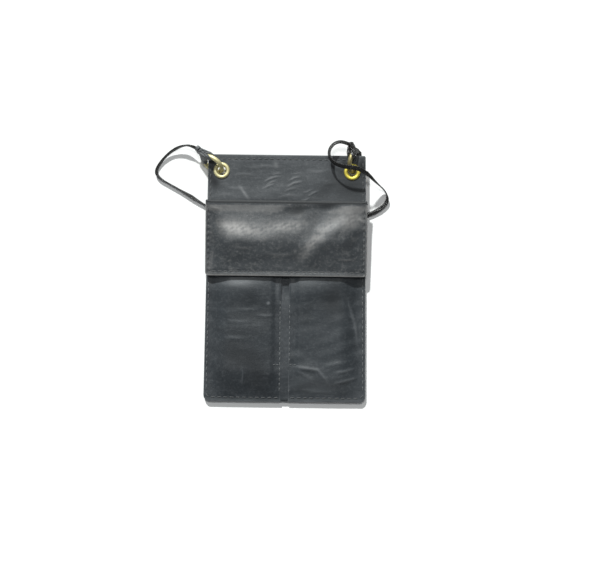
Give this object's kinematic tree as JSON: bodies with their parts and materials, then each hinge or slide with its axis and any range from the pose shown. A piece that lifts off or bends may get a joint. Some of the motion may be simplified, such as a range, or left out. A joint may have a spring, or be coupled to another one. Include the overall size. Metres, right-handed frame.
{
  "type": "neck pouch wallet",
  "caption": "Flat leather neck pouch with a folding flap, two card pockets, brass eyelets and rings, and a leather neck lace.",
  "frame": {"origin": "middle of the flat part of the pouch's back, on the surface that the pouch lies on", "axes": "+X across the pouch to the wearer's left as seen from the front, +Y from the bottom edge to the tab's top edge, +Z out of the front"},
  "size_m": [0.1843, 0.2052, 0.0203],
  "materials": {
    "leather": "soft black leather, fine grain, worn semi-gloss",
    "lining": "thin matt black split leather",
    "lace": "cut black leather lace, satin, paler worn edges",
    "brass": "polished brass, slightly tarnished",
    "closure": "woven nylon hook and loop"
  },
  "bodies": {
    "root": {"back_panel": "leather", "back_lining": "leather", "front_panel": "leather", "left_card_pocket": "leather", "right_card_pocket": "leather", "flap_seam_strip": "leather", "loop_patch": "closure", "left_grommet": "brass", "right_grommet": "brass", "left_washer": "brass", "right_washer": "brass", "knot_left": "lace", "knot_right": "lace", "lace_left": "lace", "lace_right": "lace", "lace_hank": "lace", "hank_tie": "lace"},
    "flap": {"flap_outer": "leather", "flap_lining": "lining", "hook_patch": "closure"},
    "left_ring_body": {"left_ring": "brass"},
    "right_ring_body": {"right_ring": "brass"}
  },
  "joints": [
    {"name": "flap_hinge", "type": "hinge", "parent": "root", "child": "flap", "pos_m": [0, 0.09125, 0.0119], "axis": [-1, 0, 0], "range_deg": [0, 150]},
    {"name": "left_ring_turn", "type": "hinge", "parent": "root", "child": "left_ring_body", "pos_m": [-0.05773, 0.12092, 0.0089], "axis": [0.519, 0.7143, -0.4695], "continuous": true},
    {"name": "right_ring_turn", "type": "hinge", "parent": "root", "child": "right_ring_body", "pos_m": [0.05265, 0.12422, 0.0089], "axis": [0.8637, -0.1836, 0.4695], "continuous": true}
  ]
}
